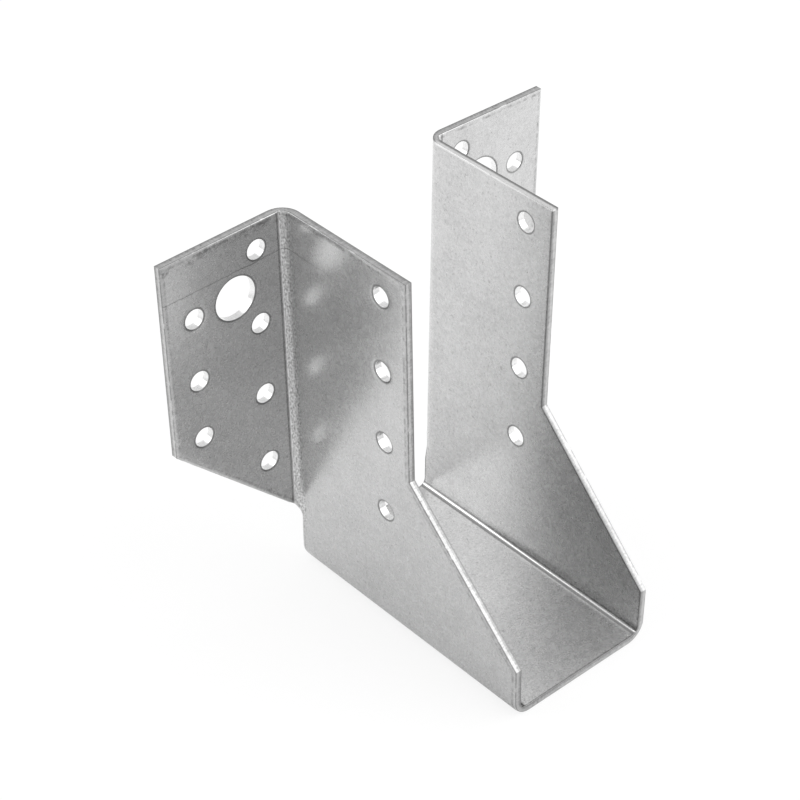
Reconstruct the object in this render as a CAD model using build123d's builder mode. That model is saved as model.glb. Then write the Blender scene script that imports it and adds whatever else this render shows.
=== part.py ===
"""Joist hanger: one galvanised steel sheet, folded into a seat, two side plates and two outward flanges.

Frame, in millimetres: X runs across the joist, the joist comes in from -Y and butts on the timber that
lies against the back faces of the flanges on the +Y side, and Z is up. The origin is at the bottom centre
of the whole part, under the seat and midway between its front edge and the backs of the flanges.

The right half is modelled and then mirrored. Heights on a side plate and its flange are measured up the
outer face of the side plate, which leans out a little from the seat.
"""

import os
from math import cos, degrees, pi, radians, sin, tan

from build123d import *

# Sheet and folds
sheet_thickness = 2.0
fold_inner_radius = 2.0
fold_outer_radius = 5.0  # the sheet is drawn a little thinner round so sharp a fold
fold_line_radius = 0.5  # round nose of the tool that marks the inside of every fold
fold_line_depth = 0.12
flange_line_turn = 65.0  # degrees from the side plate, because that tool meets the fold nearer the flange
edge_draw_in = 0.25  # corner that the punch draws in on the side where it enters

# Channel that holds the joist
joist_width = 38.0  # clear width between the side plates, where they leave the seat
overall_depth = 77.0
overall_height = 102.5
side_lean = 1.0  # degrees that each side plate stands open
upper_depth = 42.0  # depth of the narrow upper part of a side plate
slope_top_height = 48.5
slope_bottom_height = 14.5
rear_setback = 2.5  # from the backs of the flanges to the rear edge of the seat

# Wall flanges, measured outwards from the outer face of the side plate
flange_width = 34.0
flange_corner_height = 50.5  # lower outer corner
flange_cut_angle = 45.0  # lower edge, falling towards the fold
relief_radius = 3.0  # where that edge turns down into the rear edge of the side plate
relief_margin = 0.6  # the fold keeps its full form this far below the relief
fold_run_out = 3.5  # and then dies out over this height, where the plate below leaves room

# Nail holes and bolt holes
nail_radius = 2.5
bolt_radius = 5.5
nail_pitch = 20.0
nail_rows = 4
top_row_drop = 7.0  # drops are measured from the top edge
inner_column = 8.0
outer_column = 26.0
outer_row_drops = (17.0, 34.0, 50.0)
hole_edge_distance = 7.0  # least distance from a nail's centre to the lower edge of the flange
bolt_column = 14.5
bolt_drop = 17.0
side_column_inset = 8.0  # from the upper front edge of the side plate

# Places worked out from the sizes above
half_sheet = sheet_thickness / 2
fold_middle_radius = (fold_inner_radius + fold_outer_radius) / 2
fold_line_reach = fold_inner_radius + fold_line_depth - fold_line_radius
outer_half_width = joist_width / 2 + sheet_thickness
header_y = overall_depth / 2
front_y = -overall_depth / 2
rear_y = header_y - rear_setback
upper_front_y = header_y - upper_depth
bolt_height = overall_height - bolt_drop
beyond = sheet_thickness * 5  # how far a cutting shape runs past what it cuts

# Directions of the leaning side plate: up its face, and squarely out of it
lean = radians(side_lean)
up_the_side = Vector(sin(lean), 0, cos(lean))
out_of_the_side = Vector(cos(lean), 0, -sin(lean))

# Drawing planes: on the side plate x is +Y and y is up the side; on the flange x is outwards and y is up
# the side; across the flange's fold x is outwards and y is +Y
side_plane = Plane(origin=(outer_half_width, 0, 0), x_dir=(0, 1, 0), z_dir=out_of_the_side)
flange_plane = Plane(
    origin=(outer_half_width, header_y, 0), x_dir=out_of_the_side, z_dir=(0, -1, 0)
)
flange_section_plane = Plane(
    origin=(outer_half_width, header_y, 0), x_dir=out_of_the_side, z_dir=up_the_side
)

# The rounds inside, amid and outside a fold have their centres this far within the faces that the outer
# round joins, so that the sheet is thinnest half way round
inner_centre = sheet_thickness + fold_inner_radius
middle_centre = half_sheet + fold_middle_radius
outer_centre = fold_outer_radius
flange_start = middle_centre - sheet_thickness  # where the flange stops being part of the fold

# The lower fold runs along the joist and turns a little less than a right angle
lower_fold_half_turn = (pi / 2 - lean) / 2
corner_reach = tan(lower_fold_half_turn)  # from the sharp corner to a round of radius 1

# The lower edge of the flange is one straight cut in the flat sheet. It crosses the fold, and at the rear
# edge of the side plate, part of the way round, the relief turns it down.
cut_slope = tan(radians(flange_cut_angle))
cut_height_at_fold = flange_corner_height - (flange_width - flange_start) * cut_slope
rear_turn = (middle_centre - rear_setback) / fold_middle_radius  # radians, up to the rear edge
crossed_turn = pi / 2 - rear_turn
cut_corner_height = cut_height_at_fold - crossed_turn * fold_middle_radius * cut_slope
relief_height = cut_corner_height - relief_radius * tan(radians(90 - flange_cut_angle) / 2)
full_fold_height = relief_height - relief_margin
run_out_height = max(full_fold_height - fold_run_out, (full_fold_height + fold_outer_radius) / 2)


def rows_that_fit(heights, column):
    """The heights at which a hole in this column of the flange keeps its distance from the lower edge."""
    edge_height = flange_corner_height - (flange_width - column) * cut_slope
    lowest = edge_height + hole_edge_distance / cos(radians(flange_cut_angle))
    return [height for height in heights if height >= lowest]


def on_lower_fold(centre, radius, turn):
    """Point (x, z) of the lower fold, at a radius from a round's centre and turned up from the seat."""
    return outer_half_width - centre * corner_reach + radius * sin(turn), centre - radius * cos(turn)


def on_flange_fold(centre, radius, turn):
    """Point of the flange fold's section, at a radius from a round's centre and turned from the side plate."""
    return centre - sheet_thickness - radius * cos(turn), radius * sin(turn) - centre


def flange_section():
    """Section of the flange with its fold, from where the side plate stops being flat."""
    with BuildSketch() as section:
        with BuildLine():
            inside = CenterArc(on_flange_fold(inner_centre, 0, 0), fold_inner_radius, 180, -90)
            outside = CenterArc(on_flange_fold(outer_centre, 0, 0), fold_outer_radius, 180, -90)
            Line(inside @ 0, outside @ 0)
            Polyline(inside @ 1, (flange_width, -sheet_thickness), (flange_width, 0), outside @ 1)
        make_face()
    return section.sketch


def past_rear_edge():
    """The side of that section's plane that lies past the rear edge of the side plate."""
    with BuildSketch() as section:
        with Locations(on_flange_fold(middle_centre, 0, 0)):
            Rectangle(
                flange_width * 3,
                flange_width * 3,
                rotation=-degrees(rear_turn),
                align=(Align.CENTER, Align.MIN),
            )
    return section.sketch


def outline_of(faces):
    """Edges that only one of the faces has: the outline of them all together."""
    edges = [edge for face in faces for edge in face.edges()]
    return ShapeList(edge for edge in edges if edges.count(edge) == 1)


side_nail_heights = [overall_height - top_row_drop - row * nail_pitch for row in range(nail_rows)]
inner_nail_heights = rows_that_fit(side_nail_heights, inner_column)
outer_nail_heights = rows_that_fit([overall_height - drop for drop in outer_row_drops], outer_column)

# Seat, lower fold and side plate: half the channel's section, drawn along the joist, then cut to outline
with BuildPart() as channel:
    top_outside_x = outer_half_width + overall_height * sin(lean)
    top_outside_z = overall_height * cos(lean)
    with BuildSketch(Plane.XZ.offset(-rear_y)):
        with BuildLine():
            outside = FilletPolyline(
                (0, 0), (outer_half_width, 0), (top_outside_x, top_outside_z), radius=fold_outer_radius
            )
            inside = FilletPolyline(
                (0, sheet_thickness),
                (outer_half_width - sheet_thickness * corner_reach, sheet_thickness),
                (top_outside_x - sheet_thickness * cos(lean), top_outside_z + sheet_thickness * sin(lean)),
                radius=fold_inner_radius,
            )
            Line(outside @ 0, inside @ 0)
            Line(outside @ 1, inside @ 1)
        make_face()
    extrude(amount=rear_y - front_y)

    # Sloping front edge
    with BuildSketch(side_plane):
        with BuildLine():
            Polyline(
                (front_y - beyond, slope_bottom_height),
                (front_y, slope_bottom_height),
                (upper_front_y, slope_top_height),
                (upper_front_y, overall_height + beyond),
                (front_y - beyond, overall_height + beyond),
                close=True,
            )
        make_face()
    extrude(amount=beyond, both=True, mode=Mode.SUBTRACT)

    # Room for the fold into the flange, from where each side of the plate stops being flat
    with BuildSketch(flange_section_plane.offset(run_out_height)):
        with BuildLine():
            Polyline(
                (-beyond, -outer_centre),
                (-sheet_thickness, -outer_centre),
                (0, -inner_centre),
                (beyond, -inner_centre),
                (beyond, 0),
                (-beyond, 0),
                close=True,
            )
        make_face()
    extrude(amount=overall_height, mode=Mode.SUBTRACT)

# Flange and its fold: the section is drawn up the side plate, then its lower edge is cut
with BuildPart() as flange:
    with BuildSketch(flange_section_plane.offset(full_fold_height)):
        add(flange_section())
    extrude(amount=overall_height - full_fold_height)

    # Lower edge of the flat flange
    with BuildSketch(flange_plane):
        with BuildLine():
            Polyline(
                (flange_start, -beyond),
                (flange_start, cut_height_at_fold),
                (flange_width, flange_corner_height),
                (flange_width + beyond, flange_corner_height),
                (flange_width + beyond, -beyond),
                close=True,
            )
        make_face()
    extrude(amount=beyond, both=True, mode=Mode.SUBTRACT)

    # The same cut round the fold: up to its corner all that lies past the rear edge goes, and from there
    # the cut turns as it climbs, so that it stays square to the sheet
    with BuildSketch(flange_section_plane.offset(cut_corner_height)) as rear_cut:
        add(past_rear_edge())
    extrude(amount=-beyond, mode=Mode.SUBTRACT)
    climbing_cut = Solid.extrude_linear_with_rotation(
        rear_cut.sketch.face(),
        center=flange_section_plane.from_local_coords(
            (*on_flange_fold(middle_centre, 0, 0), cut_corner_height)
        ),
        normal=up_the_side * (cut_height_at_fold - cut_corner_height),
        angle=-degrees(crossed_turn),
    )
    add(climbing_cut, mode=Mode.SUBTRACT)
    cut_corner = flange_section_plane.from_local_coords(
        (*on_flange_fold(middle_centre, fold_middle_radius, rear_turn), cut_corner_height)
    )
    fillet(flange.edges().sort_by_distance(cut_corner)[0], radius=relief_radius)

    # Below the relief the fold dies out into the flat side plate
    with BuildSketch(flange_section_plane.offset(full_fold_height)):
        add(flange_section())
        add(past_rear_edge(), mode=Mode.SUBTRACT)
    with BuildSketch(flange_section_plane.offset(run_out_height)):
        with BuildLine():
            Polyline(
                (0, -inner_centre),
                (0, -rear_setback),
                (-sheet_thickness, -rear_setback),
                (-sheet_thickness, -outer_centre),
                close=True,
            )
        make_face()
    loft()

# Half of the sheet, with its worked edges, tool marks and holes
with BuildPart() as half_hanger:
    add(channel.part)
    add(flange.part)

    # The punch enters from outside the channel and from the front of the flanges, and draws the edges in
    # there. The outline of half the sheet starts with the cut down its middle, which isn't a real edge.
    lower_fold_middle = on_lower_fold(outer_centre, fold_outer_radius, lower_fold_half_turn)
    points_on_punched_side = (
        (outer_half_width / 2, 0, 0),
        (lower_fold_middle[0], 0, lower_fold_middle[1]),
        side_plane.from_local_coords((0, slope_bottom_height, 0)),
        flange_section_plane.from_local_coords(
            (
                *on_flange_fold(inner_centre, fold_inner_radius, rear_turn / 2),
                (full_fold_height + run_out_height) / 2,
            )
        ),
        flange_section_plane.from_local_coords(
            (*on_flange_fold(inner_centre, fold_inner_radius, pi / 4), flange_corner_height)
        ),
        flange_plane.from_local_coords((flange_width / 2, flange_corner_height, sheet_thickness)),
    )
    punched_side = [half_hanger.faces().sort_by_distance(point)[0] for point in points_on_punched_side]
    chamfer(outline_of(punched_side).sort_by(Axis.X)[1:], length=edge_draw_in)

    # Tool marks along the inside of both folds
    with BuildSketch(Plane.XZ.offset(-rear_y)):
        with Locations(on_lower_fold(inner_centre, fold_line_reach, lower_fold_half_turn)):
            Circle(fold_line_radius)
    extrude(amount=rear_y - front_y, mode=Mode.SUBTRACT)
    with BuildSketch(flange_section_plane):
        with Locations(on_flange_fold(inner_centre, fold_line_reach, radians(flange_line_turn))):
            Circle(fold_line_radius)
    extrude(amount=overall_height + beyond, mode=Mode.SUBTRACT)

    # Nail holes into the joist
    with BuildSketch(side_plane):
        with Locations([(upper_front_y + side_column_inset, height) for height in side_nail_heights]):
            Circle(nail_radius)
    extrude(amount=beyond, both=True, mode=Mode.SUBTRACT)
    side_rims = half_hanger.edges(Select.LAST).filter_by(GeomType.CIRCLE)
    chamfer(side_rims.group_by(Axis((0, 0, 0), out_of_the_side))[-1], length=edge_draw_in)

    # Nail holes and the bolt hole into the supporting timber
    with BuildSketch(flange_plane):
        with Locations([(inner_column, height) for height in inner_nail_heights]):
            Circle(nail_radius)
        with Locations([(outer_column, height) for height in outer_nail_heights]):
            Circle(nail_radius)
        with Locations((bolt_column, bolt_height)):
            Circle(bolt_radius)
    extrude(amount=beyond, both=True, mode=Mode.SUBTRACT)
    flange_rims = half_hanger.edges(Select.LAST).filter_by(GeomType.CIRCLE)
    chamfer(flange_rims.group_by(Axis.Y)[0], length=edge_draw_in)

# The whole sheet: both halves are one piece
with BuildPart() as joist_hanger:
    add(half_hanger.part)
    mirror(about=Plane.YZ)

joist_hanger.part.label = "joist_hanger"
os.makedirs("parts", exist_ok=True)
export_step(joist_hanger.part, "parts/joist_hanger.step")
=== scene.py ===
"""Looks of the joist hanger: one galvanised steel sheet, cut and punched flat, then folded.

The frame is the CAD part's: X across the joist, Y from the joist's side towards the timber behind, Z up,
and the origin at the bottom centre. The sheet is made in millimetres, first as the flat blank that it is
cut from, and every point of the blank is then carried round the folds. The finished mesh is in metres.
"""

import logging
from dataclasses import dataclass
from enum import Enum
from math import cos, pi, radians, sin, sqrt, tan
from typing import Any, Callable, Iterable

import bmesh
import bpy
from mathutils import Matrix, Vector

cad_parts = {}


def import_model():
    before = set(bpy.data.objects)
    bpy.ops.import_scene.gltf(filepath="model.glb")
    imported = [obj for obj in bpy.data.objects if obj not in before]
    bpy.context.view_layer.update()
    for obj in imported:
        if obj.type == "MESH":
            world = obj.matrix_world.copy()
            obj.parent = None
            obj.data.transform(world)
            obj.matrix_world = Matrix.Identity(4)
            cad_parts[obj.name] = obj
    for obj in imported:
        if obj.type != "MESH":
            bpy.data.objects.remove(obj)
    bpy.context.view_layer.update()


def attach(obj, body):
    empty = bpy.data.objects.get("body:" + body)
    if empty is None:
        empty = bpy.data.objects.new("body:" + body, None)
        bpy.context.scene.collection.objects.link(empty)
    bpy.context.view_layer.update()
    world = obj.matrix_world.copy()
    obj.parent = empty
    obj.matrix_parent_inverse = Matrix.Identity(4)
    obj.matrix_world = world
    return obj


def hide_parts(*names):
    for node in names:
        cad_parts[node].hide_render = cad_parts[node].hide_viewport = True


log = logging.getLogger("joist_hanger")

MM = 0.001
NOISE_MIDDLE = 0.5

# Two values between which something fades: it has no strength at the first and all of it at the second
Span = tuple[float, float]


class Lights(Enum):
    """The lamps of the studio, by what they do."""

    KEY = "key_lamp"
    RIM = "rim_lamp"


class Kept(Enum):
    """Numbers that the mesh carries at its vertices, for the finish to read."""

    DEPTH = "depth"
    EDGE_MARGIN = "edge_margin"
    HOLE_MARGIN = "hole_margin"


class Number:
    """A number in a node tree. Python's operators on it add Math nodes."""

    def __init__(self, recipe: "Recipe", socket: bpy.types.NodeSocket) -> None:
        """Wraps a socket.

        Args:
            recipe: the node tree that the socket is in.
            socket: the output that carries the number.
        """
        self.recipe = recipe
        self.socket = socket

    def maths(self, operation: str, *operands: "Number | float", clamp: bool = False) -> "Number":
        """Adds a Math node on these operands.

        Args:
            operation: the Math node's operation.
            operands: its inputs in order.
            clamp: keeps the result between 0 and 1.

        Returns:
            The result.
        """
        settings = {"operation": operation, "use_clamp": clamp}
        return self.recipe.number("ShaderNodeMath", settings, dict(enumerate(operands)))

    def __add__(self, other: "Number | float") -> "Number":
        """Adds."""
        return self.maths("ADD", self, other)

    __radd__ = __add__

    def __sub__(self, other: "Number | float") -> "Number":
        """Takes the other away."""
        return self.maths("SUBTRACT", self, other)

    def __rsub__(self, other: "Number | float") -> "Number":
        """Is taken away from the other."""
        return self.maths("SUBTRACT", other, self)

    def __mul__(self, other: "Number | float") -> "Number":
        """Multiplies."""
        return self.maths("MULTIPLY", self, other)

    def __abs__(self) -> "Number":
        """Drops the sign."""
        return self.maths("ABSOLUTE", self)

    def clamped(self) -> "Number":
        """Keeps the number between 0 and 1."""
        return self.maths("ADD", self, 0.0, clamp=True)

    def at_most(self, limit: float) -> "Number":
        """Keeps the number from rising above a limit."""
        return self.maths("MINIMUM", self, limit)

    def centred(self) -> "Number":
        """Lets a noise swing about 0."""
        return self - NOISE_MIDDLE

    def step(self, none: float, full: float) -> "Number":
        """Rises smoothly from 0 to 1, in either direction.

        Args:
            none: where the result is 0.
            full: where the result is 1.

        Returns:
            The smooth step.
        """
        rising = none < full
        sockets = {
            "Value": self,
            "From Min": min(none, full),
            "From Max": max(none, full),
            "To Min": 0.0 if rising else 1.0,
            "To Max": 1.0 if rising else 0.0,
        }
        return self.recipe.number("ShaderNodeMapRange", {"interpolation_type": "SMOOTHSTEP"}, sockets)

    def band(self, low: float, high: float, soft: float) -> "Number":
        """Is 1 between two values and 0 outside them.

        Args:
            low: start of the band.
            high: end of the band.
            soft: width over which it fades at both ends.

        Returns:
            The mask.
        """
        return self.step(low - soft, low) * self.step(high + soft, high)


class Recipe:
    """The node tree of a material or world, with one method that adds any node."""

    # A Mix node has sockets for every type of data, and these are the ones for colours
    mix_share = 0
    mix_colours = (6, 7)
    mix_result = 2

    def __init__(self, tree: bpy.types.NodeTree) -> None:
        """Starts an empty tree.

        Args:
            tree: the node tree to fill.
        """
        self.tree = tree
        tree.nodes.clear()

    def add(
        self,
        kind: str,
        settings: dict[str, Any] | None = None,
        sockets: dict[str | int, Any] | None = None,
    ) -> bpy.types.Node:
        """Adds a node, sets it and then fills its sockets.

        Args:
            kind: the node's type.
            settings: its properties.
            sockets: values, outputs or numbers, by the input's name or index.

        Returns:
            The node.
        """
        node = self.tree.nodes.new(kind)
        for name, value in (settings or {}).items():
            setattr(node, name, value)
        for key, value in (sockets or {}).items():
            socket = node.inputs[key]
            if isinstance(value, Number):
                value = value.socket
            if isinstance(value, bpy.types.NodeSocket):
                self.tree.links.new(value, socket)
            else:
                socket.default_value = value
        return node

    def number(self, kind: str, settings: dict[str, Any], sockets: dict[str | int, Any]) -> Number:
        """Adds a node and takes its first output as a number."""
        return Number(self, self.add(kind, settings, sockets).outputs[0])

    def attribute(self, kept: Kept) -> Number:
        """Reads a number that the mesh carries at its vertices."""
        node = self.add("ShaderNodeAttribute", {"attribute_name": kept.value})
        return Number(self, node.outputs["Fac"])

    def mix(self, share: "Number | float", first: Any, second: Any) -> bpy.types.NodeSocket:
        """Mixes two colours.

        Args:
            share: how much of the second there is.
            first: colour or socket.
            second: colour or socket.

        Returns:
            The mixed colour.
        """
        settings = {"data_type": "RGBA", "clamp_factor": True}
        sockets = {self.mix_share: share, self.mix_colours[0]: first, self.mix_colours[1]: second}
        return self.add("ShaderNodeMix", settings, sockets).outputs[self.mix_result]


def grey(value: float) -> tuple[float, float, float, float]:
    """A neutral colour."""
    return (value, value, value, 1.0)


@dataclass(frozen=True)
class Grain:
    """A noise of the finish, and what it adds to the zinc's tone and height.

    The scale is in features per millimetre, layers counts the finer layers laid on it, and finer is their
    strength. Patches are the span of the noise over which they fade in.
    """

    scale: float
    layers: float
    finer: float = 0.5
    patches: Span | None = None
    tone: float = 0.0
    height: float = 0.0


@dataclass(frozen=True)
class Tone:
    """A tone that rises with the streaks or with the depth of the cut."""

    start: float
    rise: float

    def at(self, share: Number) -> Number:
        """The tone at a share of the rise."""
        return share * self.rise + self.start


@dataclass(frozen=True)
class Stripe:
    """A stripe at or beside the line that the tool left inside a fold, in millimetres of the blank: the
    line's painted highlight, or the painted shade beside it.
    """

    beyond: float
    half_width: Span
    strength: float = 1.0

    def at(self, place: Number) -> Number:
        """How strong the stripe is at a place, which is given from the tool's line."""
        return abs(place - self.beyond).step(*self.half_width) * self.strength


@dataclass(frozen=True)
class Layer:
    """What one part of the finish adds to the zinc's tone, roughness and height."""

    tone: Number
    roughness: Number
    height: Number


class SheetPoint:
    """The point that is shaded: where it lies on the flat blank and in the sheet, in millimetres.

    A margin is 0 well inside a face and rises to 1 at the cut: at the outline, or at a hole.
    """

    hole_wall: Span = (0.985, 1.0)
    punched_part: Span = (0.9, 0.5)
    top_edge: Span = (0.6, 0.3)
    fold_fade: float = 2.0
    middle_fade: float = 1.0

    def __init__(self, recipe: Recipe, sheet: "FoldedSheet") -> None:
        """Reads the place and masks the regions that several marks share.

        Args:
            recipe: the node tree of the finish.
            sheet: the sheet that the point is on.
        """
        self.recipe = recipe
        self.blank = recipe.add("ShaderNodeUVMap", {"uv_map": sheet.blank_map}).outputs[0]
        place = recipe.add("ShaderNodeSeparateXYZ", {}, {0: self.blank})
        self.signed = Number(recipe, place.outputs[0])
        self.across = abs(self.signed)
        self.along = Number(recipe, place.outputs[1])
        self.depth = recipe.attribute(Kept.DEPTH)
        self.edge_margin = recipe.attribute(Kept.EDGE_MARGIN)
        self.hole_margin = recipe.attribute(Kept.HOLE_MARGIN)
        solid = {0: self.signed, 1: self.along, 2: self.depth}
        self.solid = recipe.add("ShaderNodeCombineXYZ", {}, solid).outputs[0]

        self.in_hole = self.hole_margin.step(*self.hole_wall)
        self.off_hole = 1.0 - self.in_hole
        self.on_punched_side = self.depth.step(*self.punched_part)
        self.on_left = self.signed.step(0.0, -self.middle_fade)
        on_right = self.signed.step(0.0, self.middle_fade)
        before_fold = self.along.step(sheet.fold_start + self.fold_fade, sheet.fold_start)
        self.below_top = sheet.across(sheet.height) - self.across
        self.on_right_top = self.below_top.step(*self.top_edge) * before_fold * on_right
        self.off_right_top = 1.0 - self.on_right_top

    def noise(self, grain: Grain, straight: bool = False) -> Number:
        """Noise at the point.

        Args:
            grain: the noise.
            straight: runs it straight through the sheet, as the streaks of a cut run.

        Returns:
            The noise, or the patches that its span makes of it.
        """
        sockets = {
            "Vector": self.blank if straight else self.solid,
            "Scale": grain.scale,
            "Detail": grain.layers,
            "Roughness": grain.finer,
        }
        noise = self.recipe.number("ShaderNodeTexNoise", {}, sockets)
        return noise.step(*grain.patches) if grain.patches else noise


@dataclass(frozen=True)
class GalvanisedFinish:
    """Zinc on a cold-rolled sheet: satin grey with a fine mottle, dark specks and a few handling marks,
    with painted shade at its edges, hole rims and folds, and painted highlights on the tools' lines and
    along the right plate's top.

    A tone is what a mark adds to the brightness of the zinc, which runs from dull at 0 to bright at 1.
    Depths are in millimetres below the punched side, and margins are those of SheetPoint.
    """

    # The bare zinc
    dull_zinc: float = 0.26
    zinc: float = 0.58
    bright_zinc: float = 0.84
    even_tone: float = 0.5
    clouds: Grain = Grain(0.09, 3.0, tone=0.20)
    mottle: Grain = Grain(0.55, 2.0, tone=0.25, height=0.2)
    grain: Grain = Grain(1.7, 2.0, 0.6, tone=0.50, height=0.6)
    specks: Grain = Grain(1.2, 1.0, patches=(0.66, 0.76), tone=-0.20)
    roughness: float = 0.27
    mottle_roughness: float = 0.10
    bump_strength: float = 0.35
    bump_distance: float = 0.00004

    # The cut edge, sheared bright and then torn rough, with a border that wanders along it
    streaks: Grain = Grain(3.0, 1.0)
    wander: Grain = Grain(0.35, 2.0)
    wander_depth: float = 0.5
    sheared_depth: Span = (0.36, 1.05)
    sheared_fade: float = 0.08
    torn_start: Span = (1.06, 1.22)
    torn_end: Span = (1.97, 1.90)
    clean_cut_depth: Span = (0.5, 1.3)
    hole_wall_tone: Tone = Tone(0.30, 0.30)
    # At the right plate's top: darker towards the outer face, lighter towards the inner face, with a
    # painted highlight along the inner face
    clean_cut_tone_and_highlight: Tone = Tone(-0.55, 0.90)
    sheared_tone: Tone = Tone(-0.28, 0.3)
    torn_tone: Tone = Tone(-0.55, 0.5)
    sheared_roughness: float = -0.05
    torn_roughness: float = 0.15
    torn_height: float = 2.0

    # Painted shade: a broken line where the edges start to draw in, one on the punched corner that dims
    # the lamp's highlight and leaves a few glints, a thin rim round the holes, and patches below the left
    # flange's top; and a dark line on the torn corner
    drawn_margin: Span = (0.36, 0.58)
    drawn_fade: float = 0.16
    drawn: Grain = Grain(0.6, 3.0, patches=(0.30, 0.75), tone=-0.35)
    corner_margin: Span = (0.93, 0.985)
    corner_depth: Span = (0.48, 0.34)
    corner: Grain = Grain(0.25, 2.0, patches=(0.64, 0.56), tone=-0.50)
    burr_margin: Span = (0.68, 0.88)
    burr_depth: Span = (1.55, 1.85)
    burr_tone: float = -0.50
    rim_shade_margin: Span = (0.62, 0.90)
    rim_shade_tone: float = -0.60
    top_shade_below: Span = (0.9, 1.9)
    top_shade_fade: float = 1.0
    top_shade_reach: float = 2.0
    top_shade_patches: Grain = Grain(0.45, 4.0, 0.65, patches=(0.42, 0.72), tone=-0.45)

    # Inside the folds: crazed zinc in the flange's, and the line of each tool, smoother and with a painted
    # highlight, between stripes of painted shade
    punched_face: Span = (0.3, 0.1)
    die_face: Span = (1.7, 1.9)
    crazed_depth: Span = (0.6, 0.3)
    crazed_margin: float = 0.3
    crazed_fade: float = 0.5
    crazing: Grain = Grain(1.5, 1.0, tone=2.0)
    crazed_roughness: float = 0.12
    flange_line: Stripe = Stripe(0.0, (0.42, 0.22))
    flange_shade: Stripe = Stripe(0.68, (0.28, 0.12))
    lower_line: Stripe = Stripe(0.0, (0.45, 0.25))
    lower_shade_inner: Stripe = Stripe(-0.9, (0.50, 0.25), 1.6)
    lower_shade_outer: Stripe = Stripe(0.7, (0.30, 0.12))
    line_highlight_tone: float = 0.50
    line_roughness: float = -0.1
    shade_tone: float = -0.40

    # A faint scratch across the left flange, which goes on round the fold
    scratch_height: float = 92.5
    scratch_wander: float = 0.8
    scratch_half_width: Span = (0.22, 0.06)
    scratch_reach: Span = (16.0, 36.0)
    scratch_depth: Span = (0.4, 0.1)
    scratch_tone: float = -0.35

    def make(self, sheet: "FoldedSheet") -> bpy.types.Material:
        """Writes the finish as nodes.

        Args:
            sheet: the sheet it lies on, for the places of its folds.

        Returns:
            The material.
        """
        material = bpy.data.materials.new("galvanised_sheet")
        material.use_nodes = True
        recipe = Recipe(material.node_tree)
        point = SheetPoint(recipe, sheet)
        mottle = point.noise(self.mottle)
        bare = self.bare_zinc(point, mottle)
        folds = self.fold_marks_and_painted_light(point, sheet)
        cut = self.cut_edge(point)
        # Painted shade at the edges, the holes' rims and the left flange's top, with the dark line on the
        # torn corner and the scratch
        shade_and_marks = self.painted_shade_and_burr(point, sheet) + self.scratch(point, sheet, mottle)
        tone = bare.tone + cut.tone + folds.tone + shade_and_marks
        roughness = bare.roughness + cut.roughness + folds.roughness
        bumps = {
            "Strength": self.bump_strength,
            "Distance": self.bump_distance,
            "Height": bare.height + cut.height + folds.height,
        }
        look = {
            "Base Color": self.colour(recipe, tone.clamped()),
            "Metallic": 1.0,
            "Roughness": roughness,
            "Normal": recipe.add("ShaderNodeBump", {}, bumps).outputs[0],
        }
        shader = recipe.add("ShaderNodeBsdfPrincipled", {}, look)
        recipe.add("ShaderNodeOutputMaterial", {}, {"Surface": shader.outputs[0]})
        return material

    def colour(self, recipe: Recipe, tone: Number) -> bpy.types.NodeSocket:
        """Turns the tone into a grey: from dull to the plain zinc, and from there to bright."""
        twice = tone * 2.0
        dull = recipe.mix(twice.clamped(), grey(self.dull_zinc), grey(self.zinc))
        return recipe.mix((twice - 1.0).clamped(), dull, grey(self.bright_zinc))

    def bare_zinc(self, point: SheetPoint, mottle: Number) -> Layer:
        """Mottles the zinc.

        Args:
            point: the point that is shaded.
            mottle: its main noise.

        Returns:
            The layer that the others are added to.
        """
        clouds = point.noise(self.clouds)
        grain = point.noise(self.grain)
        tone = (
            self.even_tone
            + clouds.centred() * self.clouds.tone
            + mottle.centred() * self.mottle.tone
            + grain.centred() * self.grain.tone
            + point.noise(self.specks) * self.specks.tone
        )
        roughness = self.roughness + mottle.centred() * self.mottle_roughness
        return Layer(tone, roughness, mottle * self.mottle.height + grain * self.grain.height)

    def cut_edge(self, point: SheetPoint) -> Layer:
        """Marks the cut through the sheet, which is clean in the holes and at the right plate's top, where
        it runs from darker at the outer face to lighter at the inner face, with a painted highlight along
        that face.

        Args:
            point: the point that is shaded.

        Returns:
            The layer.
        """
        streaks = point.noise(self.streaks, straight=True)
        wandering = point.depth + point.noise(self.wander, straight=True).centred() * self.wander_depth
        sheared = wandering.band(*self.sheared_depth, self.sheared_fade) * point.off_hole
        torn = wandering.step(*self.torn_start) * point.depth.step(*self.torn_end)
        torn = torn * point.off_hole * point.off_right_top
        # The right plate's top runs from darker to lighter across the cut, with a painted highlight along
        # its inner face
        tone = (
            point.in_hole * self.hole_wall_tone.at(streaks)
            + point.on_right_top * self.clean_cut_tone_and_highlight.at(point.depth.step(*self.clean_cut_depth))
            + sheared * self.sheared_tone.at(streaks)
            + torn * self.torn_tone.at(streaks)
        )
        roughness = torn * self.torn_roughness + sheared * self.sheared_roughness
        return Layer(tone, roughness, torn * streaks * self.torn_height)

    def painted_shade_and_burr(self, point: SheetPoint, sheet: "FoldedSheet") -> Number:
        """Paints shade along the edges, on the punched corner, round the rims of the holes and on the left
        flange below its top, and darkens the torn corner.

        Args:
            point: the point that is shaded.
            sheet: the sheet.

        Returns:
            The tone.
        """
        # Painted shade in a broken line where the edges start to draw in
        drawn = point.edge_margin.band(*self.drawn_margin, self.drawn_fade) * point.noise(self.drawn)
        # Painted shade on the punched corner, which dims the lamp's highlight there to a few glints
        corner = point.edge_margin.step(*self.corner_margin) * point.depth.step(*self.corner_depth)
        burr = point.edge_margin.step(*self.burr_margin) * point.depth.step(*self.burr_depth)
        # Painted shade in a thin rim round the holes
        rim = point.hole_margin.step(*self.rim_shade_margin) * point.off_hole
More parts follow.
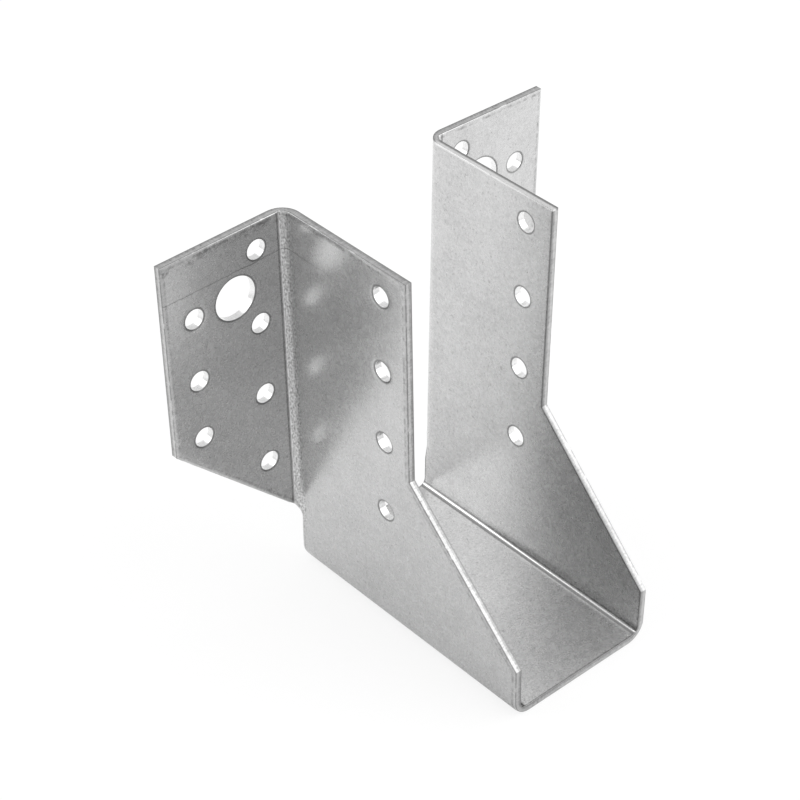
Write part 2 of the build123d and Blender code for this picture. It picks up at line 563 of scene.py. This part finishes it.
        # Painted shade in patches below the left flange's top
        top_shade_along = (sheet.fold_start - self.top_shade_reach, sheet.flange_start + self.top_shade_reach)
        below_top = point.below_top.band(*self.top_shade_below, self.top_shade_fade)
        top_shade_patches = below_top * point.along.step(*top_shade_along) * point.noise(self.top_shade_patches)
        return (
            drawn * point.on_punched_side * self.drawn.tone
            + corner * point.noise(self.corner) * self.corner.tone
            + burr * point.off_right_top * self.burr_tone
            + rim * self.rim_shade_tone
            + top_shade_patches * point.on_punched_side * point.on_left * self.top_shade_patches.tone
        )

    def fold_marks_and_painted_light(self, point: SheetPoint, sheet: "FoldedSheet") -> Layer:
        """Crazes the zinc inside the flange's fold, draws the tools' lines with a painted highlight, and
        paints shade beside them.

        Args:
            point: the point that is shaded.
            sheet: the sheet, for the places of its folds.

        Returns:
            The layer.
        """
        on_flange = point.across.step(sheet.across(sheet.flat_below), sheet.across(sheet.full_fold))
        crazed_start = sheet.fold_start + self.crazed_margin
        in_fold = point.along.band(crazed_start, sheet.flange_mark_place, self.crazed_fade) * on_flange
        inside = in_fold * point.depth.step(*self.crazed_depth)
        crazing = point.noise(self.crazing)

        by_flange_line = point.along - sheet.flange_mark_place
        by_lower_line = point.across - sheet.lower_mark_place
        in_flange_fold = on_flange * point.depth.step(*self.punched_face)
        in_lower_fold = point.depth.step(*self.die_face)
        # The tools' lines, smoother, with a painted highlight in their colour
        flange_line = self.flange_line.at(by_flange_line)
        lower_line = self.lower_line.at(by_lower_line)
        line = flange_line * in_flange_fold + lower_line * in_lower_fold
        # Painted shade beside the tools' lines, in the creases of the folds
        flange_shade = self.flange_shade.at(by_flange_line)
        lower_shade = self.lower_shade_inner.at(by_lower_line) + self.lower_shade_outer.at(by_lower_line)
        shade = flange_shade * in_flange_fold + lower_shade * in_lower_fold

        crazed = inside * (crazing.centred() * self.crazing.tone)
        tone = crazed + line * self.line_highlight_tone + shade * self.shade_tone
        roughness = inside * self.crazed_roughness + line * self.line_roughness
        return Layer(tone, roughness, inside * crazing)

    def scratch(self, point: SheetPoint, sheet: "FoldedSheet", mottle: Number) -> Number:
        """Draws the scratch.

        Args:
            point: the point that is shaded.
            sheet: the sheet.
            mottle: the noise that makes the scratch wander.

        Returns:
            The tone.
        """
        off = point.signed + sheet.across(self.scratch_height) + mottle.centred() * self.scratch_wander
        length = point.along.step(*self.scratch_reach) * point.depth.step(*self.scratch_depth)
        return abs(off).step(*self.scratch_half_width) * length * self.scratch_tone


@dataclass(frozen=True)
class Fold:
    """One fold of the sheet. Its inside and its outside round have centres of their own.

    A level in the sheet runs from 0 on the inside of the fold to 1 on the outside, and the tool's mark is
    only in the innermost levels. Places in the fold are given from the middle centre.
    """

    turn: float
    mark_turn: float
    inside_radius: float = 2.0
    outside_radius: float = 5.0
    thickness: float = 2.0
    mark_depth: float = 0.12
    mark_half_width: float = 0.32
    mark_levels: float = 0.125

    @property
    def middle_radius(self) -> float:
        """Radius amid the sheet, where folding leaves the length as it was."""
        return (self.inside_radius + self.outside_radius) / 2

    @property
    def centre(self) -> float:
        """Distance of the middle centre from the two faces that the outside round joins."""
        return self.middle_radius + self.thickness / 2

    @property
    def length(self) -> float:
        """Length of the fold on the blank."""
        return self.middle_radius * self.turn

    def section(self, level: float) -> tuple[float, float, float]:
        """Distance of a level's flat from the middle centre, radius of its round, shift of its centre."""
        flat = self.middle_radius + (level - 0.5) * self.thickness
        radius = self.inside_radius + level * (self.outside_radius - self.inside_radius)
        return flat, radius, (flat - radius) / cos(self.turn / 2)

    def reach(self, level: float, turn: float) -> float:
        """Distance of a level from the middle centre.

        Args:
            level: share of the thickness, from the inside.
            turn: how far round the fold.

        Returns:
            The distance, with the tool mark where the level is the inside.
        """
        flat, radius, shift = self.section(level)
        half = self.turn / 2
        off = abs(turn - half)
        if flat * tan(half - off) < shift * sin(half):
            reach = flat / cos(half - off)
        else:
            reach = shift * cos(off) + sqrt(radius**2 - (shift * sin(off)) ** 2)
        share = min(1.0, abs(turn - self.mark_turn) * self.inside_radius / self.mark_half_width)
        return reach + self.mark_depth * (1 - share**2) * max(0.0, 1 - level / self.mark_levels)

    def sag(self, level: float, beyond: float) -> float:
        """How far a level's round still draws in the flat sheet, this far beyond the end of the fold."""
        _, radius, shift = self.section(level)
        left = -shift * sin(self.turn / 2) - beyond
        return radius - sqrt(radius**2 - left**2) if left > 0 else 0.0


@dataclass
class FoldedSheet:
    """The whole hanger: seat, two side plates and two wall flanges, folded from one blank.

    On the blank, X runs across the seat and on up the side plates, Y along the joist and on out along the
    flanges, and Z is the depth below the punched side, which ends up outside the channel.
    """

    blank_map = "blank"

    # The sheet and the channel, with heights measured up the outer face of a side plate
    thickness: float = 2.0
    joist_width: float = 38.0
    depth: float = 77.0
    height: float = 102.5
    lean: float = radians(1.0)
    upper_depth: float = 42.0
    slope_top: float = 48.5
    slope_bottom: float = 14.5
    rear_setback: float = 2.5

    # The flanges, whose fold is tighter inside by this share and ends in a relief
    flange_width: float = 34.0
    flange_corner: float = 50.5
    flange_mark: float = radians(77.0)
    tighter_inside: float = 0.65
    relief_radius: float = 3.0
    relief_half_turn: float = radians(22.5)
    relief_margin: float = 0.6
    run_out: float = 3.5

    # The holes, with columns measured from the plate's upper front edge or from its outer face
    nail_radius: float = 2.5
    bolt_radius: float = 5.5
    nail_heights: tuple[float, ...] = (95.5, 75.5, 55.5, 35.5)
    side_column: float = 8.0
    inner_column: float = 8.0
    outer_column: float = 26.0
    outer_heights: tuple[float, ...] = (85.5, 68.5, 52.5)
    bolt_place: tuple[float, float] = (14.5, 85.5)

    # How far from the edge, and how deep, the punch and the die draw in the faces, which is less at holes
    punched_rim: tuple[tuple[float, float], ...] = (
        (0.0, 0.34),
        (0.03, 0.25),
        (0.10, 0.18),
        (0.25, 0.125),
        (0.45, 0.08),
        (0.70, 0.045),
        (1.00, 0.02),
        (1.30, 0.005),
        (1.60, 0.0),
    )
    die_rim: tuple[tuple[float, float], ...] = ((0.0, 0.08), (0.03, 0.03), (0.09, 0.0), (1.6, 0.0))
    hole_share: float = 0.6

    # How finely the mesh is divided and shaded, and how near a point counts as on a line
    relief_steps: int = 10
    nail_sides: int = 48
    bolt_sides: int = 64
    fold_steps: int = 14
    beside_fold: tuple[float, ...] = (0.25, 0.5)
    mark_clearance: float = 1.2
    mark_shares: tuple[float, ...] = (-1.0, -0.6, -0.25, 0.0, 0.25, 0.6, 1.0)
    run_out_steps: int = 6
    run_out_margin: float = 2.0
    tolerance: float = 0.01
    rim_tolerance: float = 0.02
    cut_tolerance: float = 0.002
    sharp_angle: float = radians(38.0)
    normal_weight: int = 50

    def __post_init__(self) -> None:
        """Works out the places of the folds on the blank."""
        lower_turn = pi / 2 - self.lean
        self.lower_fold = Fold(lower_turn, lower_turn / 2, thickness=self.thickness)
        self.flange_fold = Fold(pi / 2, self.flange_mark, thickness=self.thickness)
        self.half_width = self.joist_width / 2 + self.thickness
        self.plate_foot = self.lower_fold.centre * tan(lower_turn / 2)
        self.seat_half = self.half_width - self.plate_foot
        self.plate_start = self.seat_half + self.lower_fold.length
        self.front = -self.depth / 2
        self.rear = self.depth / 2 - self.rear_setback
        self.upper_front = self.depth / 2 - self.upper_depth
        self.fold_start = self.depth / 2 - self.flange_fold.centre
        self.fold_out = self.flange_fold.centre - self.thickness
        self.flange_start = self.fold_start + self.flange_fold.length
        self.flange_mark_place = self.fold_start + self.flange_mark * self.flange_fold.middle_radius
        self.lower_mark_place = (self.seat_half + self.plate_start) / 2
        # The lower edge of the flange is cut at 45 degrees, so it falls as far as it runs
        self.relief_corner = (
            self.flange_corner - (self.flange_width - self.fold_out) - (self.flange_start - self.rear)
        )
        self.relief_reach = self.relief_radius * tan(self.relief_half_turn)
        self.full_fold = self.relief_corner - self.relief_reach - self.relief_margin
        self.flat_below = self.full_fold - self.run_out

    def across(self, height: float) -> float:
        """Where a height on the side plate lies on the blank."""
        return self.plate_start + height - self.plate_foot

    def along(self, column: float) -> float:
        """Where a column of the flange lies on the blank."""
        return self.flange_start + column - self.fold_out

    def outline(self) -> list[tuple[float, float]]:
        """Corners of the right half of the blank, from its front edge round to its rear edge."""
        return [
            (self.across(self.slope_bottom), self.front),
            (self.across(self.slope_top), self.upper_front),
            (self.across(self.height), self.upper_front),
            (self.across(self.height), self.along(self.flange_width)),
            (self.across(self.flange_corner), self.along(self.flange_width)),
            (self.across(self.relief_corner), self.rear),
        ]

    def holes(self) -> list[tuple[float, float, float]]:
        """Centre and radius of every hole in the right half of the blank."""
        nail, bolt = self.nail_radius, self.bolt_radius
        side = [(self.across(h), self.upper_front + self.side_column, nail) for h in self.nail_heights]
        inner = [(self.across(h), self.along(self.inner_column), nail) for h in self.nail_heights]
        outer = [(self.across(h), self.along(self.outer_column), nail) for h in self.outer_heights]
        column, height = self.bolt_place
        return [*side, *inner, *outer, (self.across(height), self.along(column), bolt)]

    def cut_blank(self) -> bmesh.types.BMesh:
        """Cuts the blank to its outline, with its relief curves and holes.

        Returns:
            The punched side of the flat blank, as one filled layer of faces.
        """
        blank = bmesh.new()
        right = self.outline()
        left = [(-x, y) for x, y in reversed(right)]
        corners = [blank.verts.new((x, y, 0.0)) for x, y in [*right, *left]]
        blank.faces.new(corners)
        reliefs = [corner for corner in corners if abs(corner.co.y - self.rear) < self.tolerance]
        bmesh.ops.bevel(
            blank,
            geom=reliefs,
            offset=self.relief_reach,
            offset_type="OFFSET",
            segments=self.relief_steps,
            profile=0.5,
            affect="VERTICES",
            material=-1,
        )
        bmesh.ops.delete(blank, geom=blank.faces[:], context="FACES_ONLY")
        for x, y, radius in self.holes():
            sides = self.bolt_sides if radius > self.nail_radius else self.nail_sides
            for side in (1, -1):
                place = Matrix.Translation((side * x, y, 0.0))
                bmesh.ops.create_circle(blank, radius=radius, segments=sides, matrix=place)
        bmesh.ops.triangle_fill(blank, edges=blank.edges[:], use_beauty=True, normal=(0, 0, -1))
        return blank

    def thicken(self, blank: bmesh.types.BMesh) -> None:
        """Gives the blank its thickness and worked rims, and notes how near each vertex is to the cut.

        Args:
            blank: the layer of faces, which becomes a closed sheet.
        """
        edge_margin = blank.verts.layers.float.new(Kept.EDGE_MARGIN.value)
        hole_margin = blank.verts.layers.float.new(Kept.HOLE_MARGIN.value)
        holes = [(Vector((x, y)), radius) for x, y, radius in self.holes()]
        punched = blank.faces[:]
        made = bmesh.ops.extrude_face_region(blank, geom=punched)["geom"]
        die = [part for part in made if isinstance(part, bmesh.types.BMFace)]
        bmesh.ops.recalc_face_normals(blank, faces=blank.faces[:])
        rims = ((punched, 0.0, 1, self.punched_rim), (die, self.thickness, -1, self.die_rim))
        for faces, level, inwards, rim in rims:
            done = 0.0
            for reach, drop in rim:
                if reach > done:
                    bmesh.ops.inset_region(
                        blank,
                        faces=faces,
                        thickness=reach - done,
                        use_boundary=True,
                        use_even_offset=True,
                    )
                    faces = self.refill(blank, faces)
                done = reach
                for vertex in {vertex for face in faces for vertex in face.verts}:
                    place = Vector((abs(vertex.co.x), vertex.co.y))
                    limit = reach + self.rim_tolerance
                    by_hole = any((place - middle).length < radius + limit for middle, radius in holes)
                    vertex.co.z = level + inwards * drop * (self.hole_share if by_hole else 1.0)
                    vertex[hole_margin if by_hole else edge_margin] = 1 - reach / rim[-1][0]
                    vertex[edge_margin if by_hole else hole_margin] = 0.0

    @staticmethod
    def refill(blank: bmesh.types.BMesh, faces: list[bmesh.types.BMFace]) -> list[bmesh.types.BMFace]:
        """Fills a level region anew, because its own faces may overlap once its border has moved.

        Args:
            blank: the sheet.
            faces: the region.

        Returns:
            The new faces of the region.
        """
        within = set(faces)
        up = faces[0].normal.copy()
        edges = {edge for face in faces for edge in face.edges}
        inner = [edge for edge in edges if all(face in within for face in edge.link_faces)]
        border = list(edges.difference(inner))
        bmesh.ops.delete(blank, geom=faces, context="FACES_ONLY")
        bmesh.ops.delete(blank, geom=inner, context="EDGES")
        made = bmesh.ops.triangle_fill(blank, edges=border, use_beauty=True, normal=up)["geom"]
        return [part for part in made if isinstance(part, bmesh.types.BMFace)]

    def divide(self, blank: bmesh.types.BMesh) -> None:
        """Divides the sheet where it is to be folded.

        Args:
            blank: the sheet, which gets lines across its fold zones.
        """

        def lines(start: float, fold: Fold) -> list[float]:
            """Places of the lines over one fold and just beside it, closer together at the tool mark."""
            half = fold.mark_half_width * fold.middle_radius / fold.inside_radius
            middle = start + fold.mark_turn * fold.middle_radius
            even = [fold.length * step / self.fold_steps for step in range(self.fold_steps + 1)]
            before = [-gap for gap in reversed(self.beside_fold)]
            places = [*before, *even, *(fold.length + gap for gap in self.beside_fold)]
            clear = half * self.mark_clearance
            spread = [start + place for place in places if abs(start + place - middle) > clear]
            return [*spread, *(middle + half * share for share in self.mark_shares)]

        before_fold = self.fold_start - self.run_out_margin
        for side in (1, -1):
            for place in lines(self.seat_half, self.lower_fold):
                self.cut(blank, (side * place, 0, 0), (1, 0, 0), lambda middle: True)
            for step in range(self.run_out_steps + 1):
                place = self.across(self.flat_below + self.run_out * step / self.run_out_steps)
                self.cut(blank, (side * place, 0, 0), (1, 0, 0), lambda middle: middle.y > before_fold)
        limit = self.across(self.flat_below) - self.tolerance
        for place in lines(self.fold_start, self.flange_fold):
            self.cut(blank, (0, place, 0), (0, 1, 0), lambda middle: abs(middle.x) > limit)

    def cut(
        self,
        blank: bmesh.types.BMesh,
        point: tuple[float, float, float],
        normal: tuple[float, float, float],
        within: Callable[[Vector], bool],
    ) -> None:
        """Cuts a line across the faces whose middles pass a test.

        Args:
            blank: the sheet.
            point: a point on the cutting plane.
            normal: its direction.
            within: the test.
        """
        faces = [face for face in blank.faces if within(face.calc_center_median())]
        edges = {edge for face in faces for edge in face.edges}
        verts = {vertex for face in faces for vertex in face.verts}
        bmesh.ops.bisect_plane(
            blank,
            geom=[*faces, *edges, *verts],
            dist=self.cut_tolerance,
            plane_co=point,
            plane_no=normal,
        )

    def tightened(self, reach: float, level: float) -> float:
        """Crowds the inside of the flange fold towards the side plate, where the tool pressed it in.

        Args:
            reach: distance from the side plate's face at this level.
            level: share of the thickness, from the inside.

        Returns:
            The distance after it.
        """
        radius = self.flange_fold.inside_radius
        near = radius * (1 - (1 - self.tighter_inside) * (1 - level))
        if reach < radius:
            return reach * near / radius
        return near + (reach - radius) * (2 * radius - near) / radius if reach < 2 * radius else reach

    def folded(self, point: Vector) -> Vector:
        """Carries a point of the blank round the folds.

        Args:
            point: across, along and depth on the blank.

        Returns:
            Its place on the hanger, in millimetres.
        """
        side = 1 if point.x >= 0 else -1
        across, along, depth = abs(point.x), point.y, point.z
        level = depth / self.thickness
        fold = self.lower_fold
        if across <= self.seat_half:
            return Vector((point.x, along, depth + fold.sag(1 - level, self.seat_half - across)))
        if across < self.plate_start:
            turn = (across - self.seat_half) / fold.middle_radius
            reach = fold.reach(1 - level, turn)
            x = self.seat_half + reach * sin(turn)
            return Vector((side * x, along, fold.centre - reach * cos(turn)))

        # On the upright plate: how high the point is, and how far out of the plate's outer face
        height = self.plate_foot + across - self.plate_start
        out, y = -depth - fold.sag(1 - level, across - self.plate_start), along

        # The flange's fold takes over from the flat plate as it rises through the run-out
        if height > self.flat_below:
            fold = self.flange_fold
            share = min(1.0, (height - self.flat_below) / self.run_out)
            if along <= self.fold_start:
                folded_out, folded_y = fold.sag(level, self.fold_start - along) - depth, along
            elif along < self.flange_start:
                turn = (along - self.fold_start) / fold.middle_radius
                reach = fold.reach(level, turn)
                folded_out = self.fold_out - reach * cos(turn)
                folded_y = self.fold_start + reach * sin(turn)
            else:
                folded_out = self.fold_out + along - self.flange_start
                folded_y = self.depth / 2 - self.thickness + depth
                folded_y -= fold.sag(level, along - self.flange_start)
            folded_out = self.tightened(folded_out + depth, level) - depth
            out += (folded_out - out) * share
            y += (folded_y - y) * share
        x = self.half_width + height * sin(self.lean) + out * cos(self.lean)
        return Vector((side * x, y, height * cos(self.lean) - out * sin(self.lean)))

    def build(self) -> bpy.types.Object:
        """Makes the whole piece.

        Returns:
            The folded sheet, in metres, with the blank's places kept as a UV map and attributes.
        """
        blank = self.cut_blank()
        self.thicken(blank)
        self.divide(blank)
        kept = blank.loops.layers.uv.new(self.blank_map)
        depth = blank.verts.layers.float.new(Kept.DEPTH.value)
        for face in blank.faces:
            face.smooth = True
            for loop in face.loops:
                loop[kept].uv = loop.vert.co.xy
        for vertex in blank.verts:
            vertex[depth] = vertex.co.z
            vertex.co = self.folded(vertex.co) * MM
        bmesh.ops.recalc_face_normals(blank, faces=blank.faces[:])
        for edge in blank.edges:
            edge.smooth = edge.calc_face_angle() < self.sharp_angle
        mesh = bpy.data.meshes.new("folded_sheet")
        blank.to_mesh(mesh)
        blank.free()
        piece = bpy.data.objects.new("folded_sheet", mesh)
        bpy.context.scene.collection.objects.link(piece)
        weighted = piece.modifiers.new("face_weighted_normals", "WEIGHTED_NORMAL")
        weighted.mode = "FACE_AREA"
        weighted.weight = self.normal_weight
        weighted.keep_sharp = True
        log.info("%s: %d faces", piece.name, len(mesh.polygons))
        return piece

    def dress(self, piece: bpy.types.Object, finish: GalvanisedFinish) -> None:
        """Gives the sheet its finish and its place in the frame.

        Args:
            piece: the folded sheet.
            finish: its zinc.
        """
        piece.data.materials.append(finish.make(self))
        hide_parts("joist_hanger")
        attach(piece, "root")


@dataclass(frozen=True)
class PhotoCamera:
    """The camera, where the photograph was taken from: angles in degrees, lengths in millimetres."""

    azimuth: float = -41.618
    elevation: float = 37.386
    roll: float = -0.273
    target: tuple[float, float, float] = (0.779, 24.655, 44.462)
    distance: float = 563.94
    focal_pixels: float = 2385.247
    image_pixels: int = 800
    sensor_width: float = 36.0

    def build(self) -> bpy.types.Object:
        """Makes the camera and gives it to the scene."""
        azimuth, elevation, roll = radians(self.azimuth), radians(self.elevation), radians(self.roll)
        back = Vector((cos(elevation) * sin(azimuth), -cos(elevation) * cos(azimuth), sin(elevation)))
        level = Vector((cos(azimuth), sin(azimuth), 0.0))
        upright = back.cross(level)
        right = level * cos(roll) + upright * sin(roll)
        up = upright * cos(roll) - level * sin(roll)
        lens = bpy.data.cameras.new("photo_camera")
        lens.sensor_width = self.sensor_width
        lens.lens = self.focal_pixels * self.sensor_width / self.image_pixels
        camera = bpy.data.objects.new("photo_camera", lens)
        place = (Vector(self.target) + back * self.distance) * MM
        turned = Matrix((right, up, back)).transposed().to_4x4()
        camera.matrix_world = Matrix.Translation(place) @ turned
        bpy.context.scene.collection.objects.link(camera)
        bpy.context.scene.camera = camera
        log.info("%s: lens of %.1f mm", camera.name, lens.lens)
        return camera


@dataclass(frozen=True)
class SoftLamp:
    """A square soft box that faces the hanger."""

    name: Lights
    direction: tuple[float, float, float]
    distance: float = 1.2
    width: float = 0.5
    radiance: float = 1.0

    def build(self) -> bpy.types.Object:
        """Makes the lamp. Its power follows from its width and how bright it looks."""
        box = bpy.data.lights.new(self.name.value, "AREA")
        box.shape = "SQUARE"
        box.size = self.width
        box.energy = self.radiance * pi * self.width**2
        lamp = bpy.data.objects.new(self.name.value, box)
        towards = Vector(self.direction).normalized()
        turned = towards.to_track_quat("Z", "Y").to_matrix().to_4x4()
        lamp.matrix_world = Matrix.Translation(towards * self.distance) @ turned
        bpy.context.scene.collection.objects.link(lamp)
        log.info("%s: %.2f W", lamp.name, box.energy)
        return lamp


@dataclass(frozen=True)
class Studio:
    """Pale floor, plain light from all round and soft lamps, with lengths in metres.

    In front of the hanger the floor is darker, though not to the camera, so the zinc has darker ground to
    mirror there.
    """

    floor_width: float = 6.0
    paper: float = 0.97
    near_side: tuple[float, float] = (-0.664, -0.748)
    near_reach: Span = (0.018, 0.076)
    near_shade: float = 0.41
    ambient: float = 0.84
    shadow_share: float = 0.18
    mirrored_share: float = 0.05
    lamps: tuple[SoftLamp, ...] = (
        SoftLamp(Lights.KEY, (0.532, -0.583, 0.615), radiance=1.15, width=1.66),
        SoftLamp(Lights.RIM, (-0.532, 0.598, 0.6), radiance=1.27, width=0.9),
    )

    def build(self) -> None:
        """Makes the floor, the world and the lamps, and sets how colours are shown."""
        self.floor()
        self.world()
        for lamp in self.lamps:
            lamp.build()
        bpy.context.scene.view_settings.view_transform = "Standard"

    def floor(self) -> None:
        """Makes the floor, which looks white and keeps a soft shadow."""
        plane = bmesh.new()
        bmesh.ops.create_grid(plane, x_segments=1, y_segments=1, size=self.floor_width / 2)
        mesh = bpy.data.meshes.new("floor")
        plane.to_mesh(mesh)
        plane.free()
        floor = bpy.data.objects.new("floor", mesh)
        bpy.context.scene.collection.objects.link(floor)
        material = bpy.data.materials.new("white_paper")
        material.use_nodes = True
        recipe = Recipe(material.node_tree)
        path = recipe.add("ShaderNodeLightPath")
        seen = Number(recipe, path.outputs["Is Camera Ray"])
        glossy = Number(recipe, path.outputs["Is Glossy Ray"])
        mirrored = glossy + Number(recipe, path.outputs["Is Transmission Ray"])
        place = recipe.add("ShaderNodeTexCoord").outputs["Object"]
        flat = recipe.add("ShaderNodeSeparateXYZ", {}, {0: place})
        across = Number(recipe, flat.outputs[0]) * self.near_side[0]
        nearness = (across + Number(recipe, flat.outputs[1]) * self.near_side[1]).step(*self.near_reach)
        shaded = grey(self.paper * (1.0 - self.near_shade))
        colour = recipe.mix(nearness * (1.0 - seen), grey(self.paper), shaded)
        paper = recipe.add("ShaderNodeBsdfDiffuse", {}, {"Color": colour})
        white = recipe.add("ShaderNodeEmission", {}, {"Color": grey(1.0), "Strength": 1.0})
        share = (seen * (1.0 - self.shadow_share) + mirrored * self.mirrored_share).clamped()
        halves = {0: share, 1: paper.outputs[0], 2: white.outputs[0]}
        both = recipe.add("ShaderNodeMixShader", {}, halves)
        recipe.add("ShaderNodeOutputMaterial", {}, {"Surface": both.outputs[0]})
        mesh.materials.append(material)
        log.info("%s: %.1f m wide", floor.name, self.floor_width)

    def world(self) -> None:
        """Makes the plain white surroundings."""
        world = bpy.data.worlds.new("white_surroundings")
        bpy.context.scene.world = world
        world.use_nodes = True
        recipe = Recipe(world.node_tree)
        path = recipe.add("ShaderNodeLightPath")
        seen = Number(recipe, path.outputs["Is Camera Ray"])
        strength = (seen + self.ambient).at_most(1.0)
        white = recipe.add("ShaderNodeBackground", {}, {"Color": grey(1.0), "Strength": strength})
        recipe.add("ShaderNodeOutputWorld", {}, {"Surface": white.outputs[0]})


def main() -> None:
    """Builds the hanger and its studio."""
    logging.basicConfig(level=logging.INFO, format="%(name)s: %(message)s")
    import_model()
    sheet = FoldedSheet()
    piece = sheet.build()
    sheet.dress(piece, GalvanisedFinish())
    Studio().build()
    PhotoCamera().build()


if __name__ == "__main__":
    main()
